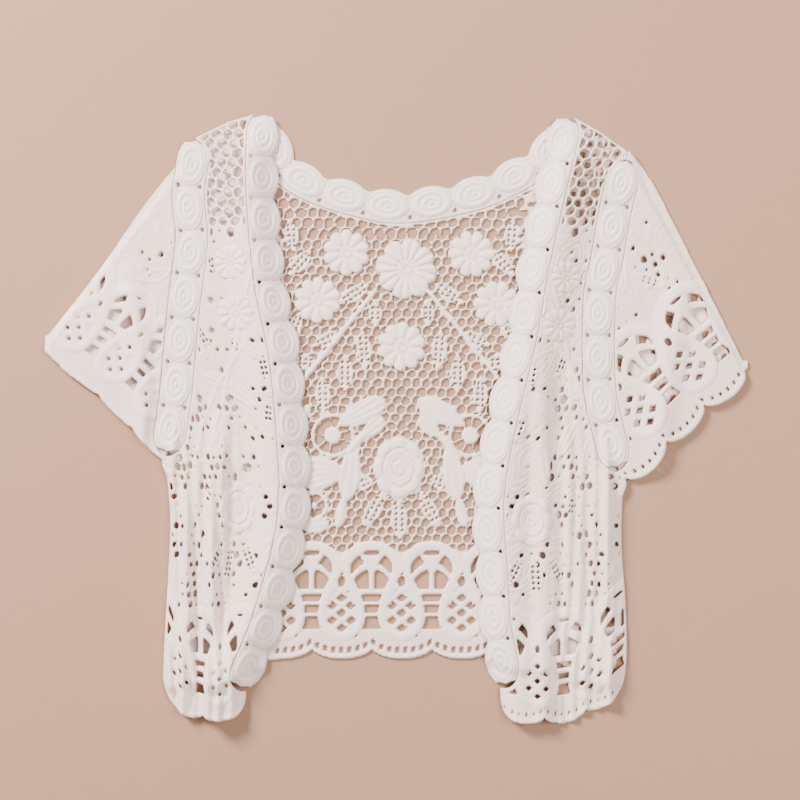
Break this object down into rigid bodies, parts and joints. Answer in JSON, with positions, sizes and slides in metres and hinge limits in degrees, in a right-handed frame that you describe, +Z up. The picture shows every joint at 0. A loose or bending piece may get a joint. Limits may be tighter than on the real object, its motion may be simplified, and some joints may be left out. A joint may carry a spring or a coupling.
{
  "type": "crochet lace shrug",
  "caption": "Open-front lace shrug with short wide sleeves, round-motif borders and scalloped hems, laid flat on its back with its fronts in soft folds.",
  "frame": {"origin": "centre of the garment's bounding box, on the surface that it lies on", "axes": "+X across the body to the right as seen from above, +Y from the hem to the neck, +Z up from the surface"},
  "size_m": [0.56, 0.4831, 0.0165],
  "materials": {
    "lace_cotton": "matt off-white cotton lace with raised thread motifs",
    "border_cotton": "matt off-white cotton crochet, tight rounds"
  },
  "bodies": {
    "root": {"back": "lace_cotton", "neck_border": "border_cotton", "left_front": "lace_cotton", "right_front": "lace_cotton", "left_front_border": "border_cotton", "right_front_border": "border_cotton", "left_armhole_border": "border_cotton", "right_armhole_border": "border_cotton", "left_sleeve_over": "lace_cotton", "left_sleeve_under": "lace_cotton", "right_sleeve_over": "lace_cotton", "right_sleeve_under": "lace_cotton"}
  },
  "joints": []
}
